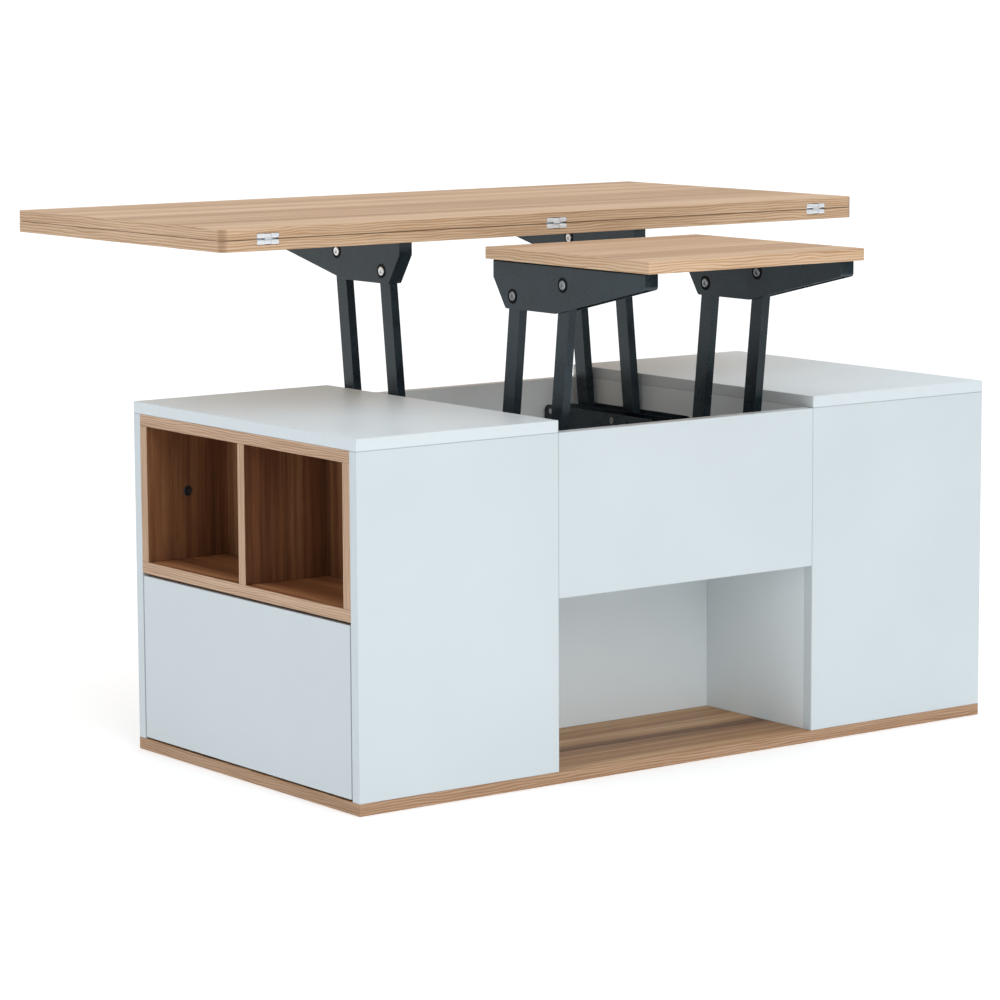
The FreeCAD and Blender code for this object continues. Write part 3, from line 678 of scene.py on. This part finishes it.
rivets("large_pivot_rivets", "large_pivot_pins", "large_top", "rivet_steel", both_ends)
rivets("small_pivot_rivets", "small_pivot_pins", "small_top", "rivet_dull", both_ends)
rivets("lift_base_rivets", "lift_base_pins", "root", "rivet_dull", base_ends)
rivets("lift_base_studs", "lift_base_pins", "root", "spring_steel", stud_ends, STUD_PROFILE, False)


# Screws: a domed head with a cross recess, and a threaded shank drawn plain

SCREW_RADIUS = 4.0 * MM
SCREW_HEAD = 2.2 * MM
SCREW_SHANK = in_mm([(0, 2.0), (-4, 2.0), (-4.6, 1.6), (-9.5, 1.6), (-11.8, 0)])
RIM_POINTS = 40
RIM_RADIUS = 0.62
RIM_HEIGHT = 0.85
CROSS_HALF = 0.13
CROSS_REACH = 0.46


def cross_outline(radius):
    """The twelve corners of a cross: a quarter of it, turned four times."""
    half, reach = radius * CROSS_HALF, radius * CROSS_REACH
    outline = []
    for quarter in range(4):
        for u, v in ((half, reach), (half, half), (reach, half)):
            for _ in range(quarter):
                u, v = v, -u
            outline.append((u, v))
    return outline


def cross_head(bm, centre, axis, radius, height):
    """A domed screw head whose face is cut by a cross; centre is on the seat, axis points out."""
    dome = [(0, 0), (0, radius * 0.94), (height * 0.08, radius), (height * 0.28, radius),
            (height * 0.62, radius * 0.86), (height * RIM_HEIGHT, radius * RIM_RADIUS)]
    lathe(bm, dome, centre, axis, segments=RIM_POINTS)
    centre, turn = Vector(centre), turned(axis)
    star = cross_outline(radius)
    top, floor = height * 0.97, height * 0.45
    upper = [bm.verts.new(centre + turn @ Vector((u, v, top))) for u, v in star]
    lower = [bm.verts.new(centre + turn @ Vector((u * 0.75, v * 0.75, floor))) for u, v in star]
    for k in range(len(star)):
        n = (k + 1) % len(star)
        bm.faces.new((upper[k], upper[n], lower[n], lower[k]))
    bm.faces.new(lower[::-1])
    rim = circle(radius * RIM_RADIUS, height * RIM_HEIGHT, RIM_POINTS)
    edge = [bm.verts.new(centre + turn @ point) for point in rim]
    links = [bm.edges.new((edge[k - 1], edge[k])) for k in range(RIM_POINTS)]
    links += [bm.edges.get((upper[k - 1], upper[k])) for k in range(len(star))]
    bmesh.ops.triangle_fill(bm, use_beauty=True, edges=links)


def screws(name, node, body, axis_of):
    """axis_of gives the direction in which the head of a screw points."""
    bm = bmesh.new()
    for low, high in islands(node):
        axis = Vector(axis_of(low, high))
        k = max(range(3), key=lambda i: abs(axis[i]))
        seat = (low + high) / 2
        seat[k] = high[k] - SCREW_HEAD if axis[k] > 0 else low[k] + SCREW_HEAD
        cross_head(bm, seat, axis, SCREW_RADIUS, SCREW_HEAD)
        lathe(bm, SCREW_SHANK, seat, axis, segments=24)
    join(bm)
    finish_piece(name, bm, "zinc", body, (node,))


def downward(low, high):
    return (0, 0, DOWN)


def towards_middle(low, high):
    return (LEFT if low.x > 0 else RIGHT, 0, 0)


screws("large_bracket_screw_heads", "large_bracket_screws", "large_top", downward)
screws("small_bracket_screw_heads", "small_bracket_screws", "small_top", downward)
screws("lift_base_screw_heads", "lift_base_screws", "root", towards_middle)


# Caps over the cubby screws: a low dome with a rolled rim and a round recess

CAP_RADIUS = 6.5 * MM
CAP_HEIGHT = 1.2 * MM
CAP_SHAPE = [(0, 0), (0, 0.97), (0.35, 1), (0.75, 0.95), (1, 0.84), (0.98, 0.74), (0.62, 0.66),
             (0.62, 0.30), (0.30, 0.24), (0.28, 0)]


def caps():
    bm = bmesh.new()
    profile = [(height * CAP_HEIGHT, radius * CAP_RADIUS) for height, radius in CAP_SHAPE]
    for low, high in islands("cubby_screw_caps"):
        base = (low + high) / 2
        out = 1 if base.y < 0 else -1
        base.y = low.y if out > 0 else high.y
        lathe(bm, profile, base, (0, out, 0), segments=56)
    finish_piece("cubby_caps", bm, "black_plastic", "root", ("cubby_screw_caps",))


caps()


# Torsion springs: a wound wire whose ends reach to the base and to the arm

WIRE = 0.85 * MM
COIL = 9.0 * MM - WIRE
TURNS = 3.75
TURN_STEPS = 36
LEG_STEP = 1.6 * MM
BASE_LEG_STEPS = 6
ARM_LEG_STEPS = 8
COIL_START = math.radians(-90)


def tube(bm, path, radius, sides=10):
    """A round wire along a smooth list of points, with blunt pointed ends."""
    points = [Vector(p) for p in path]
    normal = None
    rings = []
    for k, point in enumerate(points):
        before, after = points[max(k - 1, 0)], points[min(k + 1, len(points) - 1)]
        direction = (after - before).normalized()
        if normal is None:
            normal = direction.orthogonal().normalized()
        normal = (normal - direction * normal.dot(direction)).normalized()
        side = direction.cross(normal)
        ring = []
        for j in range(sides):
            a = 2 * math.pi * j / sides
            ring.append(bm.verts.new(point + (normal * math.cos(a) + side * math.sin(a)) * radius))
        rings.append(ring)
    for low, high in zip(rings, rings[1:]):
        for j in range(sides):
            n = (j + 1) % sides
            bm.faces.new((low[j], low[n], high[n], high[j]))
    for ring, tip, inner in ((rings[0], points[0], points[1]), (rings[-1], points[-1], points[-2])):
        pole = bm.verts.new(tip + (tip - inner).normalized() * radius * 0.5)
        for j in range(sides):
            bm.faces.new((ring[j], ring[(j + 1) % sides], pole))


def spring(name, box, arm_side):
    """A coil along X; arm_side is the direction in which the arm lies from the coil."""
    low, high = box
    centre = (low + high) / 2
    start, stop = low.x + WIRE, high.x - WIRE
    if arm_side == LEFT:
        start, stop = stop, start

    def wound(x, angle):
        return Vector((x, centre.y + math.cos(angle) * COIL, centre.z + math.sin(angle) * COIL))

    def heading(angle):
        return Vector((0, -math.sin(angle), math.cos(angle)))

    count = int(TURNS * TURN_STEPS)
    sweep = 2 * math.pi * TURNS
    last = COIL_START + sweep
    path = [wound(start, COIL_START) - heading(COIL_START) * (k * LEG_STEP)
            for k in range(BASE_LEG_STEPS, 0, -1)]
    for k in range(count + 1):
        path.append(wound(start + (stop - start) * k / count, COIL_START + sweep * k / count))
    path += [wound(stop, last) + heading(last) * (k * LEG_STEP) for k in range(1, ARM_LEG_STEPS + 1)]
    bm = bmesh.new()
    tube(bm, path, WIRE)
    obj = finish_piece(name, bm, "spring_steel", None, ("lift_springs",))
    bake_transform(obj)


for box in islands("lift_springs"):
    middle = (box[0] + box[1]) / 2
    side, hand = (LEFT, "left") if middle.x < 0 else (RIGHT, "right")
    if middle.y > 0:
        spring(f"{hand}_large_spring", box, side)
    else:
        spring(f"{hand}_small_spring", box, -side)


# Flush hinges: ribbed plates round a middle link, let into the front edge of the leaves

HINGE_HALF = 15.9 * MM
HINGE_BACK = 11.9 * MM
HINGE_WIDTH = 20 * MM
LINK_HALF = 4.6 * MM
CLEARANCE = 0.35 * MM
SEAM_GAP = 0.2 * MM
BRIDGE_FRONT = 6.2 * MM


def hinge_plates(name, node, up, body):
    """One leaf's half of each hinge: two ribs with a rolled lip at the seam, between them a half
    of the link, which meets the other leaf's half there, and a bridge behind. Outlines are pairs
    of the depth behind the leaf's front edge and the rise away from the seam."""
    bm = bmesh.new()
    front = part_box("lower_leaf")[0].y
    seam = SEAM + up * SEAM_GAP
    for low, high in islands(node):
        if high.x - low.x < HINGE_WIDTH:
            continue
        x, y = (low.x + high.x) / 2, max(low.y, front)
        far = low.z if up == DOWN else high.z
        height = (far - seam) * up - CLEARANCE
        rib = [(HINGE_BACK, 0.7 * MM)]
        rib += in_mm([(2.6, 0.7), (1.3, 0.95), (0.35, 1.5), (0.03, 2.4), (0.03, 3.4)])
        rib += [(0.06 * MM, height - 1.1 * MM), (0.45 * MM, height - 0.35 * MM), (1.2 * MM, height),
                (HINGE_BACK, height)]
        link = [(HINGE_BACK, 0), (0.9 * MM, 0), (0.5 * MM, 0.5 * MM), (0.5 * MM, height * 0.6),
                (1.2 * MM, height - 0.6 * MM), (HINGE_BACK, height - 0.6 * MM)]
        inner = LINK_HALF + CLEARANCE
        for outline, left, right in ((rib, -HINGE_HALF, -inner), (rib, inner, HINGE_HALF),
                                     (link, -LINK_HALF, LINK_HALF)):
            placed = [(y + depth, seam + up * rise) for depth, rise in outline]
            prism(bm, placed, x + left, x + right, plane="yz")
        bridge = [(x - HINGE_HALF, y + BRIDGE_FRONT), (x + HINGE_HALF, y + BRIDGE_FRONT),
                  (x + HINGE_HALF, y + HINGE_BACK), (x - HINGE_HALF, y + HINGE_BACK)]
        prism(bm, bridge, min(seam, far), max(seam, far), plane="xy")
    finish_piece(name, bm, "hinge_zinc", body, (node,), easing=0.2 * MM, angle=50)


hinge_plates("leaf_hinge_lower_plates", "leaf_hinge_lower", DOWN, "large_top")
hinge_plates("leaf_hinge_upper_plates", "leaf_hinge_upper", UP, "upper_leaf")


# Stage and light

FLOOR_GLOW = 0.29
FLOOR_DROP = 0.2 * MM
FLOOR_RINGS = [(0, 1.5 * 1.6 ** k) for k in range(14)]
CARD_HALF = 0.9
CARD_LOW, CARD_HIGH = 0.14, 1.0
CARD_THICK = 10 * MM
CARD_PLACE = (1.75, -2.35, 0.0)
CARD_TURN = math.radians(36)
SKY_COLOUR = (0.98, 0.99, 1.0, 1)


def floor():
    """A wide round sheet of pale paper, lit from within as a bright studio sweep is."""
    bm = bmesh.new()
    lathe(bm, [(0, 0)] + FLOOR_RINGS, (0, 0, -FLOOR_DROP), (0, 0, 1), 96)
    obj = mesh_object("studio_floor", bm)
    s = Shade("studio_paper")
    fibre = s.noise(s.place, scale=300.0, detail=3.0)
    s.set(Base_Color=s.mix(fibre, (0.86, 0.86, 0.86), (0.90, 0.90, 0.90)), Roughness=0.9,
          Normal=s.bump(fibre, 0.02, 0.2 * MM))
    s.specular(0.1)
    s.shader.inputs["Emission Color"].default_value = (1, 1, 1, 1)
    s.shader.inputs["Emission Strength"].default_value = FLOOR_GLOW
    obj.data.materials.append(s.material)


floor()


def dark_card():
    """A black flag to the front right, out of view, that keeps reflections in the steel dark."""
    bm = bmesh.new()
    outline = [(-CARD_HALF, CARD_LOW), (CARD_HALF, CARD_LOW),
               (CARD_HALF, CARD_HIGH), (-CARD_HALF, CARD_HIGH)]
    prism(bm, outline, -CARD_THICK, CARD_THICK)
    obj = mesh_object("dark_card", bm)
    obj.location = CARD_PLACE
    obj.rotation_euler = (0, 0, CARD_TURN)
    obj.visible_camera = False
    obj.data.materials.append(plastic("card_cloth", (0.02, 0.02, 0.02), (0.03, 0.03, 0.03)))


dark_card()


def sky():
    """Even light from all round, brighter from above and from the right."""
    world = bpy.data.worlds.new("studio")
    bpy.context.scene.world = world
    world.use_nodes = True
    tree = world.node_tree
    background = tree.nodes["Background"]
    direction = tree.nodes.new("ShaderNodeSeparateXYZ")
    tree.links.new(tree.nodes.new("ShaderNodeTexCoord").outputs["Generated"], direction.inputs[0])

    def fade(axis, low, high, low_value, high_value):
        node = tree.nodes.new("ShaderNodeMapRange")
        tree.links.new(direction.outputs[axis], node.inputs["Value"])
        for key, value in {1: low, 2: high, 3: low_value, 4: high_value}.items():
            node.inputs[key].default_value = value
        return node.outputs[0]

    strength = tree.nodes.new("ShaderNodeMath")
    strength.operation = "MULTIPLY"
    tree.links.new(fade("X", -1.0, 1.0, 0.98, 1.14), strength.inputs[0])
    tree.links.new(fade("Z", 0.0, 1.0, 0.42, 1.12), strength.inputs[1])
    tree.links.new(strength.outputs[0], background.inputs["Strength"])
    background.inputs["Color"].default_value = SKY_COLOUR


sky()


def area_light(name, location, target, size, power):
    data = bpy.data.lights.new(name, "AREA")
    data.shape = "RECTANGLE"
    data.size, data.size_y = size
    data.energy = power
    obj = bpy.data.objects.new(name, data)
    bpy.context.scene.collection.objects.link(obj)
    obj.location = location
    obj.rotation_mode = "QUATERNION"
    obj.rotation_quaternion = (Vector(target) - Vector(location)).to_track_quat("-Z", "Y")
    obj.visible_camera = False


area_light("key_softbox", location=(-1.0, -4.2, 2.4), target=(0, 0, 0.3), size=(2.6, 2.0), power=54)


# Camera: the photograph's place, direction and slight roll

LENS = 134.2
SENSOR = 36.0
CAMERA_PLACE = (-2.920, -3.803, 0.986)
AIM_TURN = math.radians(36.4849)
AIM_DOWN = math.radians(8.0750)
ROLL = math.radians(0.2836)


def camera():
    data = bpy.data.cameras.new("camera")
    data.lens = LENS
    data.sensor_width = SENSOR
    data.clip_start, data.clip_end = 0.1, 200.0
    obj = bpy.data.objects.new("camera", data)
    bpy.context.scene.collection.objects.link(obj)
    ahead = Vector((math.sin(AIM_TURN) * math.cos(AIM_DOWN), math.cos(AIM_TURN) * math.cos(AIM_DOWN),
                    -math.sin(AIM_DOWN)))
    level = ahead.cross(Vector((0, 0, 1))).normalized()
    across = Matrix.Rotation(ROLL, 3, ahead) @ level
    upward = across.cross(ahead)
    turn = Matrix((across, upward, -ahead)).transposed().to_4x4()
    obj.matrix_world = Matrix.Translation(CAMERA_PLACE) @ turn
    bpy.context.scene.camera = obj


camera()
bpy.context.scene.view_settings.view_transform = "Standard"
